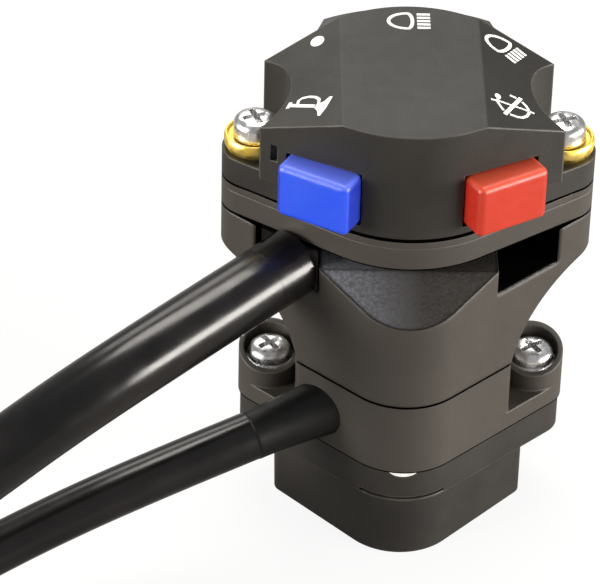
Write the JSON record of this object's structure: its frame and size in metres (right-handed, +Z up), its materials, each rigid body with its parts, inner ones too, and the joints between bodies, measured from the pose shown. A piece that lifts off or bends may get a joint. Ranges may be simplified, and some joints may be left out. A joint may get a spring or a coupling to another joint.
{
  "type": "handlebar switch",
  "caption": "Handlebar switch with horn and kill buttons, a light selector, an indicator lever and two sleeved cables, clamped to a bar.",
  "frame": {"origin": "centre of the handlebar bore", "axes": "+X along the bar to the right as the rider sees it, +Y away from the rider, +Z up"},
  "size_m": [0.2136, 0.1202, 0.0691],
  "materials": {
    "housing": "satin",
    "blue": "satin",
    "red": "satin",
    "selector": "satin",
    "steel": "satin",
    "zinc": "satin",
    "insert": "satin",
    "bronze": "satin",
    "board": "matte",
    "rubber": "matte",
    "cable": "gloss",
    "connector": "satin"
  },
  "bodies": {
    "switch": {"top_cover": "housing", "button_case": "housing", "base_plate": "housing", "clamp_bridge": "housing", "indicator_case": "housing", "lower_cover": "housing", "horn_contact": "bronze", "kill_contact": "bronze", "horn_spring": "steel", "kill_spring": "steel", "selector_washer": "steel", "selector_screw": "steel", "upper_screws": "steel", "lower_screws": "steel", "case_screws": "steel", "lever_pivot": "steel", "locating_pin": "steel", "upper_washers": "zinc", "thread_inserts": "insert", "lower_inserts": "insert", "switch_board": "board", "indicator_board": "board", "main_grommet": "rubber", "indicator_boot": "rubber", "main_cable": "cable", "main_cable_coil": "cable", "indicator_cable": "cable", "indicator_cable_coil": "cable", "main_connector": "connector", "indicator_connector": "connector"},
    "horn_button_body": {"horn_button": "blue"},
    "kill_button_body": {"kill_button": "red"},
    "selector_body": {"light_selector": "selector", "selector_wiper": "bronze", "selector_detent_ball": "steel", "selector_detent_spring": "steel"},
    "lever_body": {"indicator_lever": "selector", "indicator_wiper": "bronze", "indicator_detent_ball": "steel", "indicator_detent_spring": "steel"}
  },
  "joints": [
    {"name": "horn_press", "type": "slide", "parent": "switch", "child": "horn_button_body", "axis": [0.5, 0.866, 0], "range_m": [0, 0.002], "stiffness_N_per_m": 600, "deforming": ["horn_spring"]},
    {"name": "kill_press", "type": "slide", "parent": "switch", "child": "kill_button_body", "axis": [-0.5, 0.866, 0], "range_m": [0, 0.002], "stiffness_N_per_m": 600, "deforming": ["kill_spring"]},
    {"name": "selector_turn", "type": "hinge", "parent": "switch", "child": "selector_body", "pos_m": [0, -0.0163, 0.016], "axis": [0, 0, 1], "range_deg": [-15, 15]},
    {"name": "indicator_swing", "type": "hinge", "parent": "switch", "child": "lever_body", "pos_m": [0, -0.0153, -0.0276], "axis": [0, 0, 1], "range_deg": [-14, 14]}
  ]
}
